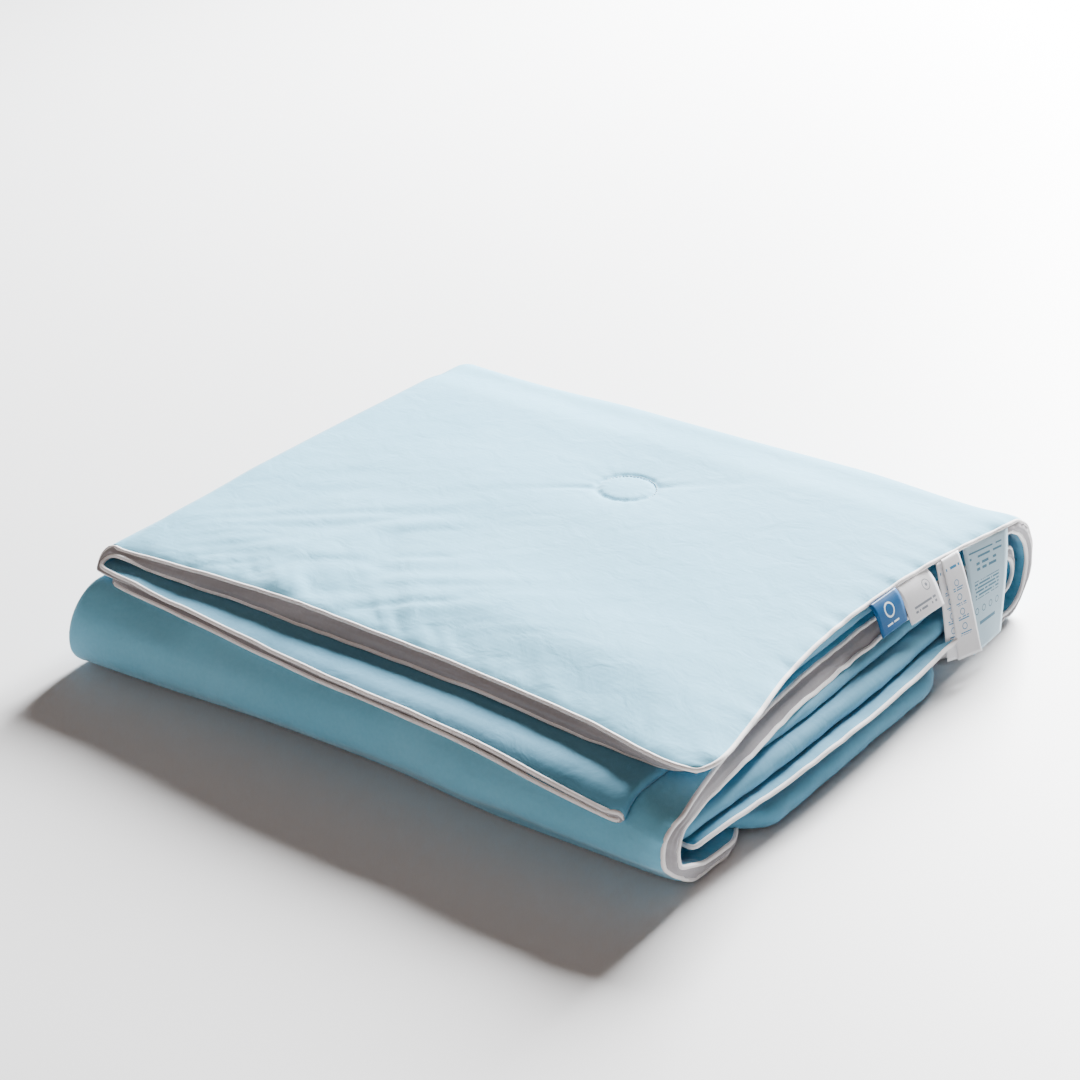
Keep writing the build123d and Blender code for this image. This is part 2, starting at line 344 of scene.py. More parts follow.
def leaf_depths(x, stretch, share, station, reach_x):
    """Depths of sides A and B of the outer, the middle and the inner leaf."""
    crush = pressed(x, stretch, share, station)
    front_height = FRONT_BAND_HEIGHT * (0.62 + 0.38 * smooth(share_across(x) / 0.16))
    top_b = outer_back_depth(x, station)
    top_b = top_b + crush * np.maximum(front_height - top_b, 0)
    sag = SAG * bump(3 - station, 0.13, 0.78, 0.16) * edge_fall(reach_x - x, SAG_REACH)
    sag = np.where((station >= 2) & (station < 3), sag, 0)
    mid_b = np.maximum(top_b + 2 * SKIN_GAP + PIPING_ROOM * crush, pitch + SKIN_GAP) - sag
    low_b = 3 * pitch - SKIN_GAP - 0.6 * sag
    mid_a = (mid_b + low_b) / 2 - SKIN_GAP
    low_a = (mid_b + low_b) / 2 + SKIN_GAP
    loose = LOOSE_FOLD * edge_fall(x - (left_x + pitch - SKIN_GAP), LOOSE_REACH)
    return {"A": (SKIN_GAP + 0 * x, mid_a, low_a), "B": (top_b - loose, mid_b + loose, low_b)}


print("the outer leaf is", round(float(outer_back_depth(0.0, np.array(0.5))), 4), "thick")

# %% [markdown]
# ## The map, part 5: the Z fold
# Across the quilt, a place is given by one of five stretches and a share along it: the
# outer leaf (0, from the sewn edge to the left), the left fold (1), the middle leaf (2),
# the right fold (3) and the inner leaf (4). Both sides of the quilt, A and B, use the
# same places, and what lies between them is the wadding.

# %% From a place across the quilt to X and depth
FREE_EDGE_SETBACK = 0.026            # the innermost leaf ends this far from the left
SEAM_TURN, SEAM_REACH = 0.0035, 0.007        # the cloth turns down to its seams
FIVE_STRETCHES = range(5)


def by_stretch(stretch, values):
    """Picks the value of the stretch that each place is on."""
    return np.select([stretch == number for number in FIVE_STRETCHES], values)


def place_across(stretch, share, station, side):
    """X and depth for every pair of a place across and a station."""
    shape = np.broadcast(stretch, station).shape
    stretch, share, station = (np.broadcast_to(n, shape) for n in (stretch, share, station))
    fold_x = left_x + pitch - SKIN_GAP
    reach_x = right_x + fold_reach(station) - (pitch - SKIN_GAP)
    edge_x = right_x + sewn_edge(station, side)
    free_x = left_x + FREE_EDGE_SETBACK
    x = by_stretch(stretch, [
        edge_x + share * (fold_x - edge_x), fold_x + 0 * share,
        fold_x + share * (reach_x - fold_x), reach_x + 0 * share,
        reach_x + share * (free_x - reach_x)])

    # The two folds are half turns between the leaves that they join.
    outer, middle, inner = leaf_depths(x, stretch, share, station, reach_x)[side]
    half_turn = math.pi * share
    left_radius, right_radius = (middle - outer) / 2, (inner - middle) / 2
    depth = by_stretch(stretch, [
        outer, (outer + middle) / 2 - left_radius * np.cos(half_turn), middle,
        (middle + inner) / 2 - right_radius * np.cos(half_turn), inner])
    left_bulge = left_radius if side == "B" else np.full(shape, pitch - SKIN_GAP)
    right_bulge = np.minimum(right_radius, pitch - SKIN_GAP)
    x = np.where(stretch == 1, x - left_bulge * np.sin(half_turn), x)
    x = np.where(stretch == 3, x + right_bulge * np.sin(half_turn), x)

    # The cloth turns down to its seam along the sewn edge.
    inwards = np.where(stretch == 0, np.abs(edge_x - x), 1.0)
    turned = SEAM_TURN * np.exp(-inwards / SEAM_REACH)
    return x, depth + (turned if side == "A" else -0.6 * turned)


start_x, start_depth = place_across(np.array(0), np.array(0.0), np.array(0.5), "A")
print("the sewn edge starts at", round(float(start_x), 4), round(float(start_depth), 4))

# %% [markdown]
# ## The map, part 6: the draped front end
# At the front of the top section the two inner leaves hang over the shoulder of the roll.
# Their front ends follow the roll's surface, and the left fold bends from one line to the
# other. The band's side-A seam lies a little behind its side-B seams, as it is tucked in.

# %% From a place on the quilt to a point
TUCKED_IN = 0.002


def shoulder_drop(y):
    """How far the roll's surface lies below its top, in front of the fold's centre."""
    ahead = np.clip(front_centre_y - y, 0, FRONT_FOLD * 0.97)
    return FRONT_FOLD - np.sqrt(FRONT_FOLD**2 - ahead**2)


def front_slip(across, stretch, share, side):
    """How far behind the plain front edge each place on the front end lies."""
    tucked_line = front_line(across, "inner")
    if side == "A":
        outer, bend = front_line(across, "TA"), front_line(across, "L2B")
        tuck = smooth(share / 0.12)
        middle = bend * (1 - tuck) + (tucked_line + TUCKED_IN) * tuck
        inner = tucked_line + TUCKED_IN
    else:
        outer, bend = front_line(across, "TB"), front_line(across, "L2B")
        middle, inner = bend, front_line(across, "L3B")
    return by_stretch(stretch, [
        outer, outer + (bend - outer) * smooth(share), middle, tucked_line, inner])


def quilt_point(stretch, share, station, side):
    """The point in the row frame for every pair of a place across and a station."""
    shape = np.broadcast(stretch, station).shape
    stretch, share, station = (np.broadcast_to(n, shape) for n in (stretch, share, station))
    x, depth = place_across(stretch, share, station, side)
    y, z = roll_place(station, depth)
    across = share_across(x)
    from_front = station * section_length
    fade = np.where(station < 1, 1 - smooth(from_front / DRAPE_LENGTH), 0.0)
    draped = np.where(stretch == 1, smooth(share), 1.0) * (stretch > 0) * (station < 1)
    z = z - draped * shoulder_drop(y + front_line(across, "inner") * fade)
    y = y + front_slip(across, stretch, share, side) * fade
    # The outer leaf turns down to its seam at the front end.
    turned = SEAM_TURN * np.exp(-from_front / SEAM_REACH) * (stretch == 0) * (station < 1)
    return np.stack([x, y, z - (turned if side == "A" else -0.4 * turned)], axis=-1)


corner_point = quilt_point(np.array(0), np.array(0.0), np.array(0.0), "A")
print("the top leaf's near corner", [round(float(n), 4) for n in corner_point])

# %% [markdown]
# ## Grids
# Each side of the quilt is a grid of points: rows across the quilt and columns along the
# roll. A Subdivision Surface modifier would round a coarser grid, but it would also round
# the seams. So the grid lines are given one by one, close together where the cloth bends
# or shows, and far apart inside.


# %% Grid lines
def steps(*runs):
    """Values that rise through several runs of (start, end, count)."""
    parts = [np.linspace(a, b, n, endpoint=False) for a, b, n in runs]
    return np.concatenate([*parts, [runs[-1][1]]])


def places_across(outer, left, middle, right, inner):
    """Stretch numbers and shares for the lines across the quilt."""
    stretch, share = [], []
    for number, run in enumerate([outer, left, middle, right, inner]):
        values = run if number == 4 else run[:-1]
        stretch.append(np.full(len(values), number))
        share.append(values)
    return np.concatenate(stretch)[:, None], np.concatenate(share)[:, None]


print("five steps to one:", steps((0, 1, 5)).round(2).tolist())

# %% [markdown]
# ## Measuring a grid
# Puckers stand square to the cloth, so the grid's normals are needed. The cloth map, the
# UV map of every piece, is in metres along the cloth, so its lengths are measured too.


# %% Normals and lengths
def grid_normals(points):
    """Unit normals of a grid of points."""
    du = np.gradient(points, axis=0)
    dv = np.gradient(points, axis=1)
    normal = np.cross(du, dv)
    return normal / np.maximum(np.linalg.norm(normal, axis=-1, keepdims=True), 1e-12)


def cloth_lengths(points):
    """Distance along the cloth in both directions, for a cloth map."""
    du = np.linalg.norm(np.diff(points, axis=0), axis=-1)
    dv = np.linalg.norm(np.diff(points, axis=1), axis=-1)
    along_u = np.concatenate([[0], np.cumsum(np.median(du, axis=1))])
    along_v = np.concatenate([[0], np.cumsum(np.median(dv, axis=0))])
    return np.broadcast_arrays(along_u[:, None], along_v[None, :])


square = np.stack([*np.meshgrid([0, 0.1], [0, 0.2], indexing="ij"), np.zeros((2, 2))], -1)
print("a test patch is", cloth_lengths(square)[0].max(), "by", cloth_lengths(square)[1].max())

# %% [markdown]
# ## From grids to pieces
# A grid of points becomes a mesh with one four-sided face between each four points. A
# padded body is two such grids, one for each side, joined round their rims, like the two
# panels of a quilt that are sewn together over the wadding.


# %% Meshes from grids
def new_piece(name, vertices, faces, uvs, zones, materials):
    """A mesh piece with a cloth map and one material for each zone."""
    mesh = bpy.data.meshes.new(name)
    mesh.from_pydata(vertices.tolist(), [], faces)
    for material in materials:
        mesh.materials.append(material)
    mesh.polygons.foreach_set("material_index", zones)
    mesh.polygons.foreach_set("use_smooth", [True] * len(faces))
    layer = mesh.uv_layers.new(name="cloth")
    corners = np.zeros(len(mesh.loops), np.int32)
    mesh.loops.foreach_get("vertex_index", corners)
    layer.data.foreach_set("uv", uvs[corners].astype(np.float32).ravel())
    mesh.update()
    piece = bpy.data.objects.new(name, mesh)
    bpy.context.scene.collection.objects.link(piece)
    return piece


def grid_faces(rows, columns, first, flipped):
    """Faces of one grid, whose points start at index first."""
    index = first + np.arange(rows * columns).reshape(rows, columns)
    quads = np.stack([index[:-1, :-1], index[1:, :-1], index[1:, 1:], index[:-1, 1:]], -1)
    quads = quads.reshape(-1, 4)
    return (quads[:, ::-1] if flipped else quads).tolist()


def rim_faces(rows, columns):
    """Faces that join the rims of two grids, one after the other."""
    a = np.arange(rows * columns).reshape(rows, columns)
    loop = np.concatenate([a[:-1, 0], a[-1, :-1], a[:0:-1, -1], a[0, :0:-1]])
    ahead = np.roll(loop, -1)
    b = rows * columns
    return [[p, q, q + b, p + b] for p, q in zip(loop.tolist(), ahead.tolist())]


def padded_body(name, side_a, side_b, materials):
    """A closed body between two grids, with side A's and side B's materials."""
    rows, columns = side_a.shape[:2]
    vertices = np.concatenate([side_a.reshape(-1, 3), side_b.reshape(-1, 3)])
    along_u, along_v = cloth_lengths(side_a)
    uv = np.stack([along_u.ravel(), along_v.ravel()], -1)
    faces_a = grid_faces(rows, columns, 0, False)
    faces_b = grid_faces(rows, columns, rows * columns, True)
    rim = [face[::-1] for face in rim_faces(rows, columns)]
    faces = faces_a + faces_b + rim
    zones = [0] * len(faces_a) + [1] * (len(faces_b) + len(rim))
    return new_piece(name, vertices, faces, np.concatenate([uv, uv]), zones, materials)


print("a 3 by 3 grid has", len(grid_faces(3, 3, 0, False)), "faces")

# %% [markdown]
# ## The stack leans, and its corner is round
# A real stack is never straight: the front fold leans forwards at the left and back at the
# right. The free corner of the top leaf is round, because its piping runs round it. Both
# are moves of the finished points, as a proportional drag in edit mode would be.

# %% Leaning and the round corner
LEAN_HEIGHTS = [0, 0.017, 0.035, 0.050, 0.069, 0.085, 0.105]
LEAN_REACH = 0.16
CORNER_RADIUS = 0.022


def lean(points):
    """Leans the roll's front fold, less and less towards the back."""
    x, y, z = points[..., 0], points[..., 1], points[..., 2]
    across = np.clip(share_across(x), 0, 1)
    at_left = curve_through(z, LEAN_HEIGHTS, [-0.012, -0.012, -0.007, -0.003, 0, 0, 0])
    low_right = curve_through(z, LEAN_HEIGHTS, [0.016, 0.019, 0.004, 0, 0, 0, 0])
    high_right = curve_through(z, LEAN_HEIGHTS, [0, 0, 0, -0.001, -0.009, -0.009, 0])
    share = curve_through(across, [0, 0.38, 0.72, 0.95, 1], [0, 0.62, 0.8, 0.97, 1])
    shift = at_left * (1 - share) + low_right * share + high_right * smooth(
        (across - 0.93) / 0.07)
    near = 1 - smooth((y - front_centre_y) / LEAN_REACH)
    return points + np.stack([0 * x, shift * near, 0 * x], -1)


def round_corner(points, stretch, station):
    """Rounds the free corner of the top leaf, as its piping runs round it."""
    x, y = points[..., 0], points[..., 1]
    rim_x, rim_y = x[0, 0], y[0, 0]
    inside_x = np.clip(rim_x - x, 0, CORNER_RADIUS)
    inside_y = np.clip(y - rim_y, 0, CORNER_RADIUS)
    p = 1 - inside_x / CORNER_RADIUS
    q = 1 - inside_y / CORNER_RADIUS
    dx = CORNER_RADIUS * (p - p * np.sqrt(1 - q**2 / 2))
    dy = CORNER_RADIUS * (q - q * np.sqrt(1 - p**2 / 2))
    here = (stretch == 0) & (station < 0.5)
    return points + np.stack([-dx * here, dy * here, 0 * x], -1)


print("the front fold leans over", LEAN_REACH, "m of the roll")

# %% [markdown]
# ## Tack rings in the cloth
# A ring of stitches holds the wadding in the middle of each section. It pulls a round
# groove into the cloth, with fine rays round it, and the rolling has drawn one long crease
# through it. A texture could show that, but only real dents catch the light as it turns.

# %% The dimple round each tack ring
RING_RADIUS = 0.0285
RING_STATIONS = (0.71, 2.523, 4.376, 6.337)
CREASE_ALONG, CREASE_ASIDE = 0.786, 0.617    # the crease's direction on the cloth
GROOVE_DEPTH, DIP_DEPTH, RAY_HEIGHT, CREASE_DEPTH = 0.0022, 0.0010, 0.0002, 0.0030
RAYS = 17
ring_x = right_x - 0.329


def ring_dimple(x, station):
    """The groove round each tack ring and the short puckers that leave it."""
    depth = 0 * x * station
    for centre in RING_STATIONS:
        along = (station - centre) * section_length
        away = np.hypot(x - ring_x, along)
        turn = np.arctan2(along, x - ring_x)
        groove = np.exp(-(((away - RING_RADIUS) / 0.0035) ** 2))
        dip = np.exp(-(((away - RING_RADIUS) / 0.016) ** 2))
        rays = np.exp(-np.abs(away - RING_RADIUS) / 0.022) * np.cos(RAYS * turn + 2)
        aside = CREASE_ALONG * (x - ring_x) + CREASE_ASIDE * along
        across = CREASE_ALONG * along - CREASE_ASIDE * (x - ring_x)
        beyond = smooth((np.abs(aside) - RING_RADIUS) / 0.006)
        crease = np.exp(-((across / 0.005) ** 2) - np.abs(aside) / 0.06) * beyond
        depth = (depth - GROOVE_DEPTH * groove - DIP_DEPTH * dip + RAY_HEIGHT * rays
                 - CREASE_DEPTH * crease)
    return depth


in_the_groove = ring_dimple(np.array(ring_x + RING_RADIUS), np.array(RING_STATIONS[0]))
print("the groove is", round(float(-in_the_groove), 4), "deep")

# %% [markdown]
# ## Puckers
# The face cloth is full of small puckers that run away from every seam, because the piping
# is a little shorter than the cloth. The top leaf is also crowned by the wadding, and soft
# waves cross its front half. Every effect is noise that is stretched along its folds and
# fades with the distance from its seam.

# %% How far the cloth rises
CROWN = 0.0065                       # the wadding's crown on the top leaf
BROAD_HEIGHT, HIDDEN_SHARE = 0.0026, 0.25    # long swells, weaker where leaves are pressed
SEAM_FOLD, SEAM_FOLD_REACH = 0.0016, 0.022
FOLD_CREASE, CUFF, SLIPPED_CUFF, CUFF_REACH = 0.0011, 0.0008, 0.0007, 0.028
FRONT_DENT, WAVE = 0.0018, 0.0036
FANS = (                             # width, slope, height, reach and seed of each fan
    (0.030, 0.75, 0.0036, 0.050, 7),
    (0.014, 1.10, 0.0020, 0.030, 17),
)


def top_puckers(side, x, from_front):
    """Fans that run back from the front band, and the waves behind them."""
    middle = 0.45 + 0.9 * np.exp(-(((x + 0.13) / 0.12) ** 2))
    rise = 0 * x
    for width, slope, height, reach, seed in FANS:
        fans = soft_noise((x + slope * from_front) / width, from_front / 0.12, seed)
        fans = np.clip(fans, -0.4, 0.6) * smooth(from_front / 0.030 + 0.1) * (side == "A")
        rise = rise + middle * height * fans * np.exp(-from_front / reach)
    return rise


def top_waves(x, along, from_front):
    """Slanting waves across the front half of the top leaf."""
    waves = soft_noise((CREASE_ALONG * along - CREASE_ASIDE * x) / 0.019,
                       (CREASE_ASIDE * along + x) / 0.12, 8)
    area = np.exp(-(((x + 0.12) / 0.15) ** 2) - ((from_front - 0.12) / 0.12) ** 2)
    return WAVE * np.abs(waves) ** 0.8 * area


def puckers(side, x, stretch, share, station):
    """How far the cloth rises from its plain place."""
    along = station * section_length
    from_front = np.where(station < 1, along, 1.0)
    from_sewn = np.where(stretch == 0, np.abs(right_x + sewn_edge(station, side) - x), 1.0)
    outer_face = (stretch == 0) & (side == "A")
    broad = BROAD_HEIGHT * soft_noise(x / 0.13 + 9, along / 0.10, 3)
    broad = broad * smooth(from_sewn / 0.05) * np.where(outer_face, 1.0, HIDDEN_SHARE)
    seam_folds = SEAM_FOLD * soft_noise(along / 0.013, from_sewn / 0.05, 5)
    rise = broad + seam_folds * np.exp(-from_sewn / SEAM_FOLD_REACH)
    on_top = (station < 1) & (stretch == 0)
    rise = rise + on_top * (top_puckers(side, x, from_front) + top_waves(x, along, from_front))
    if side == "A":
        crown = CROWN * smooth(from_sewn / 0.10) * smooth(from_front / 0.09)
        rise = rise + on_top * crown * smooth((1 - station) / 0.12)
        rise = rise + (stretch == 0) * ring_dimple(x, station)
    # The folds at the sewn side are pulled together by short creases.
    creases = soft_noise(along / 0.016, share * 2, 11) * (stretch == 3)
    rise = rise + FOLD_CREASE * creases * np.sin(math.pi * share)
    cuff = soft_noise(x / 0.013, from_front / 0.05, 12) * ((side == "B") | (stretch == 0))
    cuff_height = CUFF + SLIPPED_CUFF * (stretch == 2)
    rise = rise + cuff_height * cuff * np.exp(-from_front / CUFF_REACH)
    dents = soft_noise(x / 0.05, station * 3, 13) * bump(station, 3.35, 3.75, 0.3)
    return rise + FRONT_DENT * dents * (stretch == 0)


def cloth_side(stretch, share, stations, side):
    """The finished grid of points for one side of the quilt."""
    points = quilt_point(stretch, share, stations, side)
    if stations[0, 0] < 1:
        points = round_corner(points, stretch, stations)
    else:
        points = lean(points)
    out = grid_normals(points) * (-1 if side == "A" else 1)
    rise = puckers(side, points[..., 0], stretch + 0 * stations, share + 0 * stations,
                   stations + 0 * stretch)
    points = points + out * rise[..., None]
    points[..., 2] = np.maximum(points[..., 2], SKIN_GAP)
    return points


patch = puckers("A", np.linspace(-0.2, 0.1, 9)[:, None], np.zeros((9, 9)), np.zeros((9, 9)),
                np.linspace(0.1, 0.6, 9)[None, :])
print("on a patch of the top the cloth rises by", patch.min().round(4), "to",
      patch.max().round(4))

# %% [markdown]
# ## Woven cloth
# One node group makes the look of woven cloth, and every cloth uses it with its own
# colours: a broad, uneven tone, a fine weave and small wrinkles. An image of cloth would
# do as well, but nodes stay sharp at any distance. The group works on the cloth map, which
# is in metres along the real cloth, so the weave has one size everywhere.


# %% The woven cloth node group
def add(tree, kind, links=(), **settings):
    """Adds a node with its settings and links of the form (input, output socket)."""
    node = tree.nodes.new(kind)
    for key, value in settings.items():
        setattr(node, key, value)
    for key, source in links:
        if hasattr(source, "is_output"):
            tree.links.new(source, node.inputs[key])
        else:
            node.inputs[key].default_value = source
    return node


BANDS_PER_UNIT = 20.0                # a Wave texture draws so many bands a metre at scale 1


def woven_group():
    """The node group that gives a cloth its colour and its normal."""
    group = bpy.data.node_groups.new("woven_cloth", "ShaderNodeTree")
    face = group.interface
    for name, kind, value in (
        ("Light tone", "NodeSocketColor", (1, 1, 1, 1)),
        ("Deep tone", "NodeSocketColor", (0.5, 0.5, 0.5, 1)),
        ("Threads per metre", "NodeSocketFloat", 1200.0),
        ("Wrinkles", "NodeSocketFloat", 0.2),
    ):
        face.new_socket(name, in_out="INPUT", socket_type=kind).default_value = value
    face.new_socket("Colour", in_out="OUTPUT", socket_type="NodeSocketColor")
    face.new_socket("Normal", in_out="OUTPUT", socket_type="NodeSocketVector")
    given = add(group, "NodeGroupInput").outputs
    cloth = add(group, "ShaderNodeUVMap", uv_map="cloth").outputs["UV"]
    broad = add(group, "ShaderNodeTexNoise",
                [("Vector", cloth), ("Scale", 7.0), ("Detail", 3.0)]).outputs["Fac"]
    slub = add(group, "ShaderNodeTexNoise",
               [("Vector", cloth), ("Scale", 260.0), ("Detail", 4.0)]).outputs["Fac"]
    tone = add(group, "ShaderNodeMath", [(0, slub), (1, 0.35), (2, broad)],
               operation="MULTIPLY_ADD").outputs[0]
    share = add(group, "ShaderNodeMapRange",
                [("Value", tone), ("From Min", 0.45), ("From Max", 0.95)]).outputs[0]
    mixed = add(group, "ShaderNodeMix", data_type="RGBA")
    group.links.new(share, mixed.inputs[0])
    group.links.new(given["Deep tone"], mixed.inputs[6])
    group.links.new(given["Light tone"], mixed.inputs[7])
    threads = []
    for direction in ("X", "Y"):
        wave = add(group, "ShaderNodeTexWave", [("Vector", cloth), ("Distortion", 1.2)],
                   bands_direction=direction)
        scale = add(group, "ShaderNodeMath",
                    [(0, given["Threads per metre"]), (1, BANDS_PER_UNIT)],
                    operation="DIVIDE").outputs[0]
        group.links.new(scale, wave.inputs["Scale"])
        threads.append(wave.outputs["Fac"])
    weave = add(group, "ShaderNodeMath", [(0, threads[0]), (1, threads[1])],
                operation="ADD").outputs[0]
    fine = add(group, "ShaderNodeBump",
               [("Height", weave), ("Strength", 0.10), ("Distance", 0.0002)]).outputs[0]
    wrinkle = add(group, "ShaderNodeTexNoise", [("Vector", cloth), ("Scale", 38.0),
                                                ("Detail", 5.0), ("Distortion", 0.6)])
    final = add(group, "ShaderNodeBump", [("Height", wrinkle.outputs["Fac"]),
                                          ("Normal", fine), ("Distance", 0.004)])
    group.links.new(given["Wrinkles"], final.inputs["Strength"])
    out = add(group, "NodeGroupOutput")
    group.links.new(mixed.outputs[2], out.inputs["Colour"])
    group.links.new(final.outputs[0], out.inputs["Normal"])
    return group


woven = woven_group()
print("the woven cloth group has", len(woven.nodes), "nodes")

# %% [markdown]
# ## The cloths
# The quilt is a soft, slightly shiny polyester: pale blue on its face and a little deeper
# on its back, with a grey band and white pipings. Each cloth is the same group with two
# tones of its own, and the sheen gives the bright rim that fine fibres have.


# %% The quilt's cloths
def srgb(red, green, blue):
    """A given colour, as the linear values that the shader wants."""
    channels = [c / 255 for c in (red, green, blue)]
    return (*[c / 12.92 if c < 0.04045 else ((c + 0.055) / 1.055) ** 2.4
              for c in channels], 1.0)


def cloth_material(name, light, deep, roughness=0.8, sheen=0.3, threads=1200, wrinkles=0.15):
    """A cloth in two tones."""
    material = bpy.data.materials.new(name)
    material.use_nodes = True
    tree = material.node_tree
    shader = tree.nodes["Principled BSDF"]
    look = add(tree, "ShaderNodeGroup", node_tree=woven)
    look.inputs["Light tone"].default_value = srgb(*light)
    look.inputs["Deep tone"].default_value = srgb(*deep)
    look.inputs["Threads per metre"].default_value = threads
    look.inputs["Wrinkles"].default_value = wrinkles
    tree.links.new(look.outputs["Colour"], shader.inputs["Base Color"])
    tree.links.new(look.outputs["Normal"], shader.inputs["Normal"])
    shader.inputs["Roughness"].default_value = roughness
    shader.inputs["Sheen Weight"].default_value = sheen
    shader.inputs["Sheen Roughness"].default_value = 0.4
    shader.inputs["Specular IOR Level"].default_value = 0.25
    return material


face_cloth = cloth_material("face_fabric", (124, 193, 221), (108, 180, 209), wrinkles=0.3)
back_cloth = cloth_material("back_fabric", (98, 162, 191), (84, 148, 178), wrinkles=0.3)
wadding = cloth_material("filling", (240, 240, 238), (226, 226, 222), roughness=0.95)
band_cloth = cloth_material("edge_band", (168, 165, 169), (150, 148, 152), wrinkles=0.35)
piping_cloth = cloth_material("piping", (248, 245, 244), (232, 229, 229), wrinkles=0.1)
stitch_thread = cloth_material("stitching", (196, 222, 233), (180, 208, 221), wrinkles=0)
print("materials", [m.name for m in bpy.data.materials])

# %% [markdown]
# ## The panels
# The face and the back are thin cloths. Each is one of the two grids, and the Solidify
# modifier grows its thickness inwards, so that its outer side stays where it is.

# %% Thin cloth
CLOTH = 0.0006


def thicken(piece, thickness):
    """Gives a sheet its thickness with the Solidify modifier, and applies it."""
    solidify = piece.modifiers.new("thickness", "SOLIDIFY")
    solidify.thickness = thickness
    solidify.offset = -1
    bpy.ops.object.select_all(action="DESELECT")
    piece.select_set(True)
    bpy.context.view_layer.objects.active = piece
    bpy.ops.object.modifier_apply(modifier=solidify.name)


def thin_cloth(name, side, inwards, material):
    """A cloth of one thickness, grown inwards from its outer side."""
    rows, columns = side.shape[:2]
    along_u, along_v = cloth_lengths(side)
    uv = np.stack([along_u.ravel(), along_v.ravel()], -1)
    faces = grid_faces(rows, columns, 0, not inwards)
    piece = new_piece(name, side.reshape(-1, 3), faces, uv, [0] * len(faces), [material])
    thicken(piece, CLOTH)
    flat = (float(along_u[-1, 0]), float(along_v[0, -1]))
    return piece, flat


print("a panel is", CLOTH * 1000, "mm thick")

# %% [markdown]
# ## Pipings
# A piping is a cord in a strip of cloth, sewn into the seam. A bevelled curve would follow
# a line as well, but its ends and its cloth map are simpler to set in mesh code: a ring of
# points is carried along the rim without turning about it.

# %% Rims and cords
PIPING_RADIUS = 0.0020
PIPING_STEP = 0.004


def rim(points, first_end):
    """The three free edges of a grid as one line, from and back to the open end."""
    if first_end:
        line = [points[0, ::-1], points[1:, 0], points[-1, 1:]]
    else:
        line = [points[0, :], points[1:, -1], points[-1, -2::-1]]
    return np.concatenate(line)


def tube(name, path, radius, material, sides=10):
    """A cord along a line of points."""
    ahead = np.gradient(path, axis=0)
    ahead /= np.maximum(np.linalg.norm(ahead, axis=1, keepdims=True), 1e-9)
    frames = [np.cross(ahead[0], [0.3, 0.2, 0.9])]
    for direction in ahead:
        side = frames[-1] - direction * np.dot(frames[-1], direction)
        frames.append(side / np.linalg.norm(side))
    across = np.array(frames[1:])
    other = np.cross(ahead, across)
    angle = np.linspace(0, 2 * math.pi, sides, endpoint=False)
    ring = across[:, None] * np.cos(angle)[:, None] + other[:, None] * np.sin(angle)[:, None]
    points = (path[:, None] + radius * ring).reshape(-1, 3)
    count = len(path)
    index = np.arange(count * sides).reshape(count, sides)
    ahead_index, beside = index[1:], np.roll(index, -1, axis=1)
    faces = np.stack([index[:-1], beside[:-1], beside[1:], ahead_index], -1)
    faces = faces.reshape(-1, 4).tolist()
    faces += [index[0, ::-1].tolist(), index[-1].tolist()]
    lengths = np.concatenate([[0], np.cumsum(np.linalg.norm(np.diff(path, axis=0), axis=1))])
    uv = np.stack([np.repeat(lengths, sides), np.tile(angle * radius, count)], -1)
    return new_piece(name, points, faces, uv, [0] * len(faces), [material])


def even_path(path, step):
    """The same line with evenly spaced points, smoothed a little."""
    lengths = np.concatenate([[0], np.cumsum(np.linalg.norm(np.diff(path, axis=0), axis=1))])
    at = np.linspace(0, lengths[-1], int(lengths[-1] / step))
    even = np.stack([np.interp(at, lengths, path[:, k]) for k in range(3)], -1)
    for _ in range(2):
        even[1:-1] = (even[:-2] + 2 * even[1:-1] + even[2:]) / 4
    return even


print("a piping is", PIPING_RADIUS * 2000, "mm thick")

# %% [markdown]
# ## The edge band
# The band closes the quilt's cut edge all round, from one seam to the other. It is drawn
# between the two rims, and the wadding pushes it outwards, so it bulges a little and has
# creases along it.

# %% The band
BAND_WIDTH = 0.020
BAND_ROWS = 13
SHORTEST_SIDE = 0.0101               # where the band is pressed flat, its seams still stand


def edge_band(name, rim_a, rim_b, inner_a, inner_b):
    """The boxed band between the two rims, which swells outwards a little."""
    share = np.linspace(0, 1, BAND_ROWS)[:, None, None]
    outwards = (rim_a - inner_a) + (rim_b - inner_b)
    outwards /= np.maximum(np.linalg.norm(outwards, axis=1, keepdims=True), 1e-9)
    width = np.linalg.norm(rim_a - rim_b, axis=1)
    lengths = np.concatenate([[0], np.cumsum(np.linalg.norm(np.diff(rim_a, axis=0), axis=1))])
    crease = soft_noise(lengths[None, :] / 0.09, share[..., 0] * 7, 21)
    full = 0.0026 * np.exp(-width / 0.02) + 0.08 * width
    swell = np.sin(math.pi * share[..., 0]) * (full + 0.0011 * crease)
    points = rim_a * (1 - share) + rim_b * share + outwards * swell[..., None]
    uv_u = np.repeat(share[:, 0], len(rim_a), axis=1) * BAND_WIDTH
    uv = np.stack([uv_u.ravel(), np.tile(lengths, BAND_ROWS)], -1)
    faces = grid_faces(BAND_ROWS, len(rim_a), 0, False)
    piece = new_piece(name, points.reshape(-1, 3), faces, uv, [0] * len(faces), [band_cloth])
    over = np.linalg.norm(np.diff(points, axis=0), axis=-1).sum(axis=0)
    return piece, (max(float(over.mean()), SHORTEST_SIDE), float(lengths[-1]))


def outward_pull(side, first_end):
    """How the cloth runs outwards at the rim of one side, which the band follows."""
    pull = np.zeros_like(side)
    pull[0, :] += side[0, :] - side[2, :]
    pull[-1, :] += side[-1, :] - side[-3, :]
    end, near = (0, 2) if first_end else (-1, -3)
    pull[:, end] += side[:, end] - side[:, near]
    return rim(pull, first_end)


print("an open band is", BAND_WIDTH, "m wide")
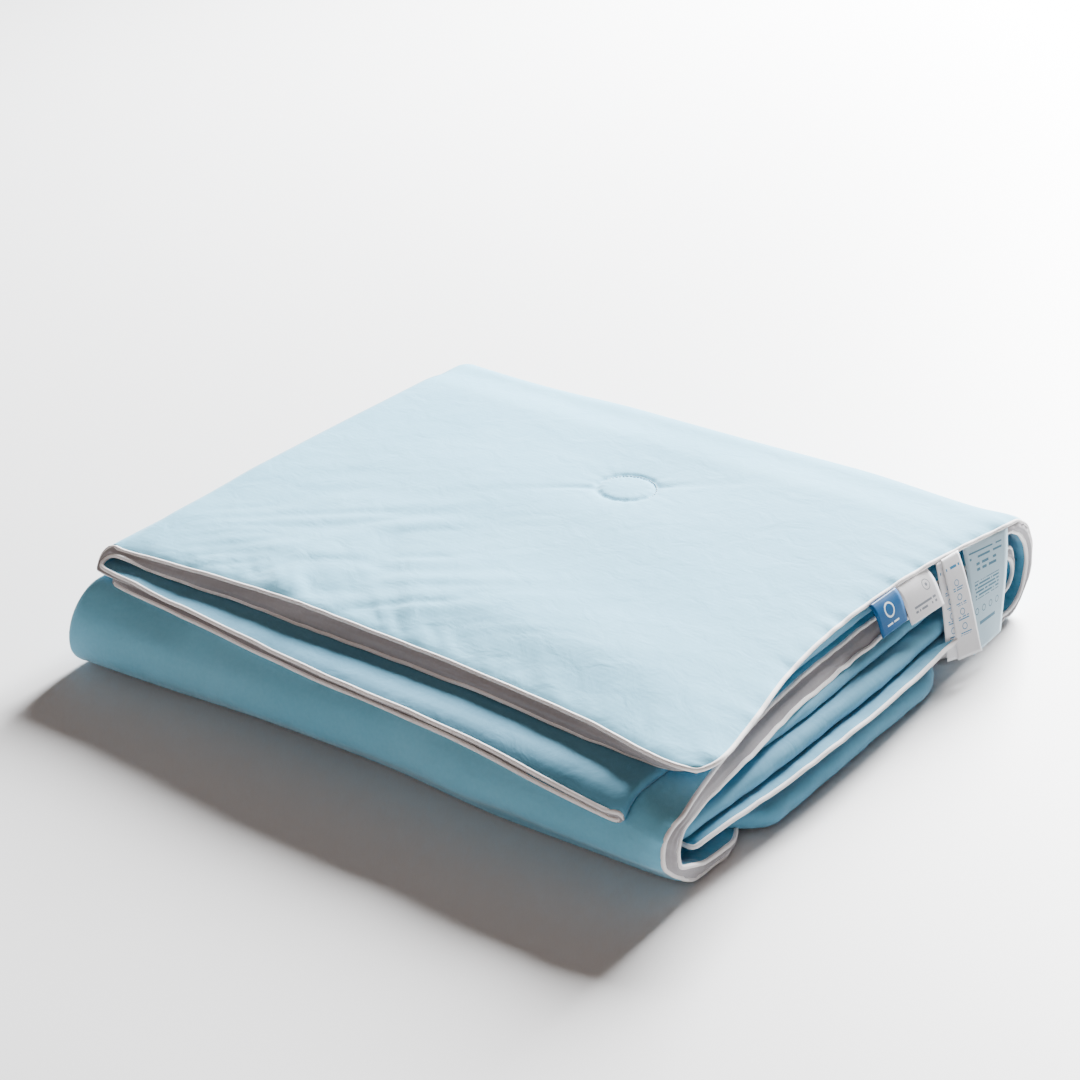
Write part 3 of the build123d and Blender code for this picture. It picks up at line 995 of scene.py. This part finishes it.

# %% [markdown]
# ## The two cloth sets
# The top section and the big back fold are one set of pieces, the wrap. Everything under
# them is the other set, the coil. Each set has the face panel, the back panel, the wadding
# between them, the grey band round the edge and a piping on each of the band's seams.

# %% Grid lines of both sets
across_lines = places_across(
    steps((0, 0.045, 14), (0.045, 0.42, 46), (0.42, 0.57, 44), (0.57, 1, 74)),
    steps((0, 1, 12)), steps((0, 0.9, 24), (0.9, 1, 10)), steps((0, 1, 12)),
    steps((0, 0.1, 8), (0.1, 1, 22)))
station_lines = {
    "wrap": steps((0, 0.06, 14), (0.06, 0.62, 56), (0.62, 0.80, 40), (0.80, 1, 18),
                  (1, 2, 30)),
    "coil": steps((2, 3, 48), (3, 4, 24), (4, 5, 48), (5, 6, 12), (6, 7, 48)),
}
for key, stations in station_lines.items():
    print(key, "has", len(across_lines[0]), "by", len(stations), "grid points on a side")

# %% [markdown]
# ## The wadding
# The wadding fills the space between the panels. It is a padded body between the same two
# grids, with every second line and drawn in a little, so that it never shows through the
# cloth or past the band.

# %% The wadding between two sides
FILLING_INSET, LARGEST_INSET = 0.0024, 0.33      # metres, and share of the thickness
FILLING_ROWS, FILLING_COLUMNS = slice(2, -2, 2), slice(14, -14, 2)


def wadding_between(name, side_a, side_b):
    """A padded body inside the two sides."""
    thickness = np.linalg.norm(side_a - side_b, axis=-1, keepdims=True)
    inset = np.minimum(FILLING_INSET / np.maximum(thickness, 1e-6), LARGEST_INSET)
    move = (side_b - side_a) * inset
    inner_a = (side_a + move)[FILLING_ROWS, FILLING_COLUMNS]
    inner_b = (side_b - move)[FILLING_ROWS, FILLING_COLUMNS]
    return padded_body(name, inner_a, inner_b, [wadding, wadding])


print("the wadding lies", FILLING_INSET * 1000, "mm inside the cloth")

# %% [markdown]
# ## Sewing each set together
# All the pieces of a set come from the same two grids, so they meet at every seam. The
# wrap's pieces keep the place where they are built, and the coil's pieces ride on the roll.

# %% Build both sets
CAD_BODIES = {"wrap": ("top", "back_fold"), "coil": ("roll",)}

for key, stations in station_lines.items():
    first_end = key == "wrap"
    side_a = cloth_side(*across_lines, stations[None, :], "A")
    side_b = cloth_side(*across_lines, stations[None, :], "B")
    rim_a, rim_b = rim(side_a, first_end), rim(side_b, first_end)
    face, face_flat = thin_cloth(key + "_face_panel", side_a, True, face_cloth)
    back, back_flat = thin_cloth(key + "_back_panel", side_b, False, back_cloth)
    filling = wadding_between(key + "_filling", side_a, side_b)
    band, band_flat = edge_band(key + "_edge_band", rim_a, rim_b,
                                rim_a - outward_pull(side_a, first_end),
                                rim_b - outward_pull(side_b, first_end))
    thicken(band, CLOTH)
    piping_a, piping_b = (
        tube(f"{key}_{where}_piping", even_path(line, PIPING_STEP), PIPING_RADIUS,
             piping_cloth)
        for where, line in (("face", rim_a), ("back", rim_b)))
    cloth_set = dict(face_panel=face, back_panel=back, filling=filling, edge_band=band,
                     face_piping=piping_a, back_piping=piping_b)
    for kind, piece in cloth_set.items():
        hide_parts(*[f"{body}_{kind}" for body in CAD_BODIES[key]])
        if key == "wrap":
            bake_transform(piece)
        else:
            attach(piece, "folded_roll")
        print(f"{piece.name}: {len(piece.data.polygons)} faces")

# %% [markdown]
# ## Stitches of the tack rings
# A small ring of stitches holds the wadding in the middle of each section. An Array
# modifier could copy one stitch round a ring, but the ground is not flat: each stitch is
# placed by the same map as the cloth, as a short bar whose ends dip into it.


# %% Rings of stitches
STITCHES = 52
STITCH_PARTS = (-0.36, -0.2, 0.2, 0.36)      # shares of a stitch's pitch round the ring
THREAD = 0.0006
STITCH_LIFT = 0.0004
CROWN_AT_RING = 0.0062                       # how far the top leaf's crown lifts the ring


def on_outer_leaf(x, station):
    """The point on the outer leaf's side A above a given X."""
    stretch = np.array([[0]])
    edge, half_way = (quilt_point(stretch, np.array([[share]]), station, "A")[0, 0, 0]
                      for share in (0.0, 0.5))
    share = np.array([[0.5 * (edge - x) / (edge - half_way)]])
    return quilt_point(stretch, share, station, "A")[0, 0]


def stitch(centre, number):
    """The four cross-sections of one stitch of the ring at a station."""
    upward = 1 if round(centre - 0.5) in (0, 4) else -1      # side A looks up on 0 and 4
    crown = CROWN_AT_RING if centre < 1 else 0.0
    points = []
    for part in STITCH_PARTS:
        turn = 2 * math.pi * (number + part) / STITCHES
        x = ring_x + RING_RADIUS * math.cos(turn)
        station = np.array([[centre + RING_RADIUS * math.sin(turn) / section_length]])
        rise = ring_dimple(np.array([[x]]), station)[0, 0] + crown + STITCH_LIFT
        point = on_outer_leaf(x, station) + np.array([0, 0, upward * rise])
        if part in (STITCH_PARTS[0], STITCH_PARTS[-1]):
            point[2] -= upward * THREAD
        points.append(point)
    outwards = np.array([math.cos(turn), math.sin(turn), 0]) * THREAD
    upwards = np.array([0, 0, THREAD])
    return [point + way for point in points for way in (outwards, upwards, -outwards, -upwards)]


def ring_of_stitches(centre_stations, name):
    """Short stitches round the tack rings at these stations."""
    vertices, faces = [], []
    for centre in centre_stations:
        for number in range(STITCHES):
            first = len(vertices)
            vertices += stitch(centre, number)
            for a in (first, first + 4, first + 8):
                faces += [[a + i, a + (i + 1) % 4, a + 4 + (i + 1) % 4, a + 4 + i]
                          for i in range(4)]
            faces += [[first + 3, first + 2, first + 1, first],
                      [first + 12, first + 13, first + 14, first + 15]]
    points = np.array(vertices)
    return new_piece(name, points, faces, points[:, :2], [0] * len(faces), [stitch_thread])


ring_plan = {
    "top_ring_stitches": (RING_STATIONS[:1], "top_section", "top_tack_rings"),
    "coil_ring_stitches": (RING_STATIONS[1:], "folded_roll", "roll_tack_rings"),
}
for name, (centres, body, node) in ring_plan.items():
    piece = ring_of_stitches(centres, name)
    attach(piece, body)
    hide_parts(node)
    print(name, "has", len(centres) * STITCHES, "stitches")

# %% [markdown]
# ## Printing
# The labels carry no words: bars stand for the lines of print, and plain rings for the
# pictures. Ink could be a thin mesh on the cloth, but it lies in the cloth, so it is a mask
# in the material. The mask is worked out from the cloth map, which is in metres from the
# label's seam, and it mixes the ink into the cloth's colour.


# %% Printing in nodes
LINE_SHARE = 0.5                     # a printed line fills half of its spacing
LETTER_CHANCE = 0.8                  # one letter in five is a gap between words


class Print:
    """Masks on one label's cloth map: u across the label and v down from its seam."""

    def __init__(self, material):
        self.tree = material.node_tree
        cloth = add(self.tree, "ShaderNodeUVMap", uv_map="cloth").outputs["UV"]
        split = add(self.tree, "ShaderNodeSeparateXYZ", [("Vector", cloth)])
        self.u, self.v = split.outputs["X"], split.outputs["Y"]
        self.ink = None

    def math(self, operation, first, second=0.0, third=0.0):
        """One step of arithmetic."""
        return add(self.tree, "ShaderNodeMath", [(0, first), (1, second), (2, third)],
                   operation=operation).outputs[0]

    def within(self, value, low, high):
        """1 between two values."""
        above = self.math("GREATER_THAN", value, low)
        return self.math("MULTIPLY", above, self.math("LESS_THAN", value, high))

    def put(self, mask):
        """Adds a mask to the ink."""
        self.ink = mask if self.ink is None else self.math("MAXIMUM", self.ink, mask)

    def bars(self, u0, u1, v0, v1, spacing, letter):
        """Broken lines of print in a block: their spacing and the width of a letter."""
        line = self.math("DIVIDE", self.v, spacing)
        row = self.math("FLOOR", line)
        column = self.math("FLOOR", self.math("DIVIDE", self.u, letter))
        seed = add(self.tree, "ShaderNodeCombineXYZ", [("X", column), ("Y", row)])
        chance = add(self.tree, "ShaderNodeTexWhiteNoise", [("Vector", seed.outputs[0])],
                     noise_dimensions="2D").outputs["Value"]
        mask = self.math("LESS_THAN", self.math("FRACT", line), LINE_SHARE)
        mask = self.math("MULTIPLY", mask, self.math("LESS_THAN", chance, LETTER_CHANCE))
        mask = self.math("MULTIPLY", mask, self.within(self.u, u0, u1))
        self.put(self.math("MULTIPLY", mask, self.within(self.v, v0, v1)))

    def ring(self, u, v, radius, width):
        """A drawn ring, or a disc where the width is the radius."""
        across = self.math("SUBTRACT", self.u, u)
        down = self.math("SUBTRACT", self.v, v)
        square = self.math("MULTIPLY_ADD", across, across,
                           self.math("MULTIPLY", down, down))
        away = self.math("SQRT", square)
        self.put(self.within(away, radius - width, radius))

    def paint(self, ink_colour):
        """Mixes the ink into the colour that the shader gets."""
        shader = self.tree.nodes["Principled BSDF"]
        cloth = shader.inputs["Base Color"].links[0].from_socket
        mixed = add(self.tree, "ShaderNodeMix", data_type="RGBA")
        self.tree.links.new(self.ink, mixed.inputs[0])
        self.tree.links.new(cloth, mixed.inputs[6])
        mixed.inputs[7].default_value = srgb(*ink_colour)
        self.tree.links.new(mixed.outputs[2], shader.inputs["Base Color"])


MM = 0.001
print("a printed line fills", LINE_SHARE, "of its spacing")

# %% [markdown]
# ## The two folded labels
# The small blue tab and the white loop beside it are woven ribbons, folded double, so they
# are smoother and shinier than the quilt and their print is fine.

# %% Print on the tab and the loop
LABEL_LOOK = {"roughness": 0.5, "threads": 2400, "wrinkles": 0.05}

tab_cloth = cloth_material("tab_label", (0, 92, 146), (0, 80, 134), sheen=0.0, **LABEL_LOOK)
tab_print = Print(tab_cloth)
tab_print.ring(19 * MM, 13 * MM, 7 * MM, 1.6 * MM)
tab_print.bars(10 * MM, 28 * MM, 23 * MM, 26 * MM, 3 * MM, 2 * MM)
tab_print.paint((226, 240, 248))

loop_cloth = cloth_material("loop_label", (238, 238, 240), (226, 226, 230), sheen=0.1,
                            **LABEL_LOOK)
loop_print = Print(loop_cloth)
loop_print.ring(36 * MM, 12 * MM, 5.2 * MM, 0.8 * MM)
loop_print.ring(36 * MM, 12 * MM, 1.6 * MM, 1.6 * MM)
loop_print.bars(10 * MM, 42 * MM, 22 * MM, 30 * MM, 4 * MM, 1.7 * MM)
loop_print.paint((132, 138, 148))
print("printed", tab_cloth.name, "and", loop_cloth.name)

# %% [markdown]
# ## The two hanging labels
# The care label is a white satin strip with four rows of signs. The information label is
# pale blue and wide, with a heading, a block of small print and a row of signs.

# %% Print on the care and information labels
SIGN_ROWS, SIGN_SPACING = 4, 13 * MM
SIGN_COLUMNS, COLUMN_SPACING = 4, 11.5 * MM

care_cloth = cloth_material("care_label", (240, 241, 243), (229, 230, 234), sheen=0.1,
                            **LABEL_LOOK)
care_print = Print(care_cloth)
care_print.bars(3 * MM, 22 * MM, 8 * MM, 13 * MM, 5 * MM, 2.2 * MM)
for row in range(SIGN_ROWS):
    sign_v = 26 * MM + row * SIGN_SPACING
    care_print.ring(12 * MM, sign_v, 3 * MM, 0.7 * MM)
    care_print.bars(6 * MM, 19 * MM, sign_v + 4 * MM, sign_v + 7.5 * MM, 2 * MM, 1.1 * MM)
care_print.paint((58, 132, 176))

information_cloth = cloth_material("information_label", (196, 222, 234), (182, 211, 226),
                                   sheen=0.1, **LABEL_LOOK)
information_print = Print(information_cloth)
information_print.bars(6 * MM, 50 * MM, 9 * MM, 16 * MM, 7 * MM, 4.2 * MM)
information_print.bars(14 * MM, 42 * MM, 20 * MM, 28 * MM, 5 * MM, 3.1 * MM)
information_print.bars(9 * MM, 46 * MM, 36 * MM, 52 * MM, 3.2 * MM, 1.4 * MM)
for column in range(SIGN_COLUMNS):
    information_print.ring(10 * MM + column * COLUMN_SPACING, 62 * MM, 3 * MM, 0.8 * MM)
information_print.bars(14 * MM, 42 * MM, 72 * MM, 77 * MM, 10 * MM, 60 * MM)
information_print.paint((92, 134, 158))
print("printed", care_cloth.name, "and", information_cloth.name)

# %% [markdown]
# ## The labels' cloth
# Each label is held by its upper end only. It leaves the seam outwards, bends and hangs,
# and its free end turns a little. Cloth physics could drop it into place, but two lines,
# the seam and the free end, and a soft bend between them are enough.


# %% Hanging labels
LABEL_ROWS, LABEL_COLUMNS = 30, 12
BELLY_OUTWARDS = np.array([0.75, 0, 0.66])
CURL_OUTWARDS = np.array([1, 0, 0.3])
CUP = 0.0010                         # the free end is cupped across by this much


def hanging_label(name, seam, free_end, material, thickness, bend, twist):
    """A label from its seam line to its free end, in millimetres from the near corner."""
    corner = np.array([right_x, front_y, stack_z])
    a, b = (corner + np.array(p) * MM for p in seam)
    c, d = (corner + np.array(p) * MM for p in free_end)
    down = np.linspace(0, 1, LABEL_ROWS)[:, None, None]
    over = np.linspace(0, 1, LABEL_COLUMNS)[None, :, None]
    straight = (a * (1 - over) + b * over) * (1 - down) + (c * (1 - over) + d * over) * down
    length = float(np.linalg.norm((c + d - a - b) / 2))
    width = float(np.linalg.norm(b - a))
    belly = bend * length * (down * (1 - down) ** 1.6)
    cup = CUP * np.sin(math.pi * over) * down
    curl = twist * (over - 0.5) * down**2
    points = straight + BELLY_OUTWARDS * (belly + cup) + CURL_OUTWARDS * curl
    uv = np.stack(np.broadcast_arrays(over[..., 0] * width, down[..., 0] * length), -1)
    faces = grid_faces(LABEL_ROWS, LABEL_COLUMNS, 0, False)
    piece = new_piece(name, points.reshape(-1, 3), faces, uv.reshape(-1, 2),
                      [0] * len(faces), [material])
    thicken(piece, thickness)
    return piece, (width, length)


print("a label is a grid of", LABEL_ROWS, "by", LABEL_COLUMNS, "points")

# %% [markdown]
# ## Where each label hangs
# The labels are sewn into the long side's seam, under the edge of the top leaf. Each has
# the body that it turns with, the CAD node that it stands for, its slot and cloth, the two
# ends of its seam line and of its free end, its thickness, its bend and its twist.

# %% The five labels
label_plan = {
    "tab_label_cloth": (
        "woven_tab_label", "woven_tab_label", "tab_label", tab_cloth,
        [(-29.5, 299, -3.5), (-28, 339, -3.5)],
        [(-15, 299, -31), (-13, 337, -30)], 0.0014, 0.45, 0.0),
    "loop_label_cloth": (
        "loop_label", "loop_label", "white_label", loop_cloth,
        [(-28.5, 338.5, -4.5), (-25, 388, -4.5)],
        [(-10, 340, -36), (-4, 386, -34)], 0.0010, 0.42, 0.0),
    "care_label_cloth": (
        "care_label", "care_label_front", "white_label", care_cloth,
        [(-20, 404, -3.0), (-17, 430, -3.0)],
        [(14, 386, -86), (22, 408, -84)], 0.0004, 0.18, 0.004),
    "care_label_under": (
        "care_label", "care_label_rear", "white_label", care_cloth,
        [(-21, 398, -4.5), (-19, 422, -4.5)],
        [(6, 374, -84), (13, 396, -88)], 0.0004, 0.14, -0.004),
    "information_label_cloth": (
        "information_label", "information_label", "information_label", information_cloth,
        [(-18, 440, -4.2), (-3, 497, -4.2)],
        [(18, 404, -88), (20, 450, -84)], 0.0004, 0.15, 0.0),
}
for name, (body, node, slot, cloth, seam, free_end, thickness, bend, twist) in (
        label_plan.items()):
    piece, flat = hanging_label(name, seam, free_end, cloth, thickness, bend, twist)
    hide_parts(node)
    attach(piece, body)
    print(f"{name}: {flat[0] * 1000:.0f} x {flat[1] * 1000:.0f} mm")

# %% [markdown]
# ## The floor and the room's light
# The quilt stands on a plain pale floor. The room around it gives a weak, warm light to the
# shaded sides, but the camera sees it pale, so that nothing dark shows past the floor.

# %% Floor and room
FLOOR_SIZE = 18
FLOOR_COLOUR = (0.74, 0.75, 0.76, 1)
ROOM_LIGHT, ROOM_STRENGTH = (1.0, 0.86, 0.80, 1), 0.15
ROOM_SEEN = (0.93, 0.95, 0.97, 1)

bpy.ops.object.select_all(action="DESELECT")
bpy.ops.mesh.primitive_plane_add(size=FLOOR_SIZE)
floor = bpy.context.object
floor.name = "floor"
floor_paint = bpy.data.materials.new("floor")
floor_paint.use_nodes = True
floor_paint.node_tree.nodes["Principled BSDF"].inputs["Base Color"].default_value = FLOOR_COLOUR
floor.data.materials.append(floor_paint)

world = bpy.data.worlds.new("studio")
bpy.context.scene.world = world
world.use_nodes = True
room = world.node_tree.nodes["Background"]
room.inputs["Color"].default_value = ROOM_LIGHT
room.inputs["Strength"].default_value = ROOM_STRENGTH
seen = add(world.node_tree, "ShaderNodeBackground", [("Color", ROOM_SEEN), ("Strength", 1.0)])
eye = add(world.node_tree, "ShaderNodeLightPath")
either = add(world.node_tree, "ShaderNodeMixShader",
             [(0, eye.outputs["Is Camera Ray"]), (1, room.outputs[0]), (2, seen.outputs[0])])
world.node_tree.links.new(either.outputs[0], world.node_tree.nodes["World Output"].inputs[0])
print("the floor is", tuple(round(n, 1) for n in floor.dimensions), "m")

# %% [markdown]
# ## The lamps
# A large soft lamp stands behind the quilt and above it, so that the top is bright, its
# puckers show, and the near side lies in its own shade. A weak, warm lamp fills the shade
# from the front.


# %% Lamps
AIM = Vector((0, 0, 0.05))
FILL_COLOUR = (1.0, 0.74, 0.62)


def area_light(name, place, size, power):
    """A square lamp that looks at the quilt."""
    bpy.ops.object.light_add(type="AREA", location=place)
    light = bpy.context.object
    light.name = name
    light.data.size, light.data.energy = size, power
    light.rotation_euler = (AIM - Vector(place)).to_track_quat("-Z", "Y").to_euler()
    return light


key_light = area_light("key_light", (-0.5, 3.3, 1.75), 1.6, 1520)
fill_light = area_light("fill_light", (0.6, -2.6, 1.6), 1.6, 14)
fill_light.data.color = FILL_COLOUR
print("lamps of", key_light.data.energy, "and", fill_light.data.energy, "W")
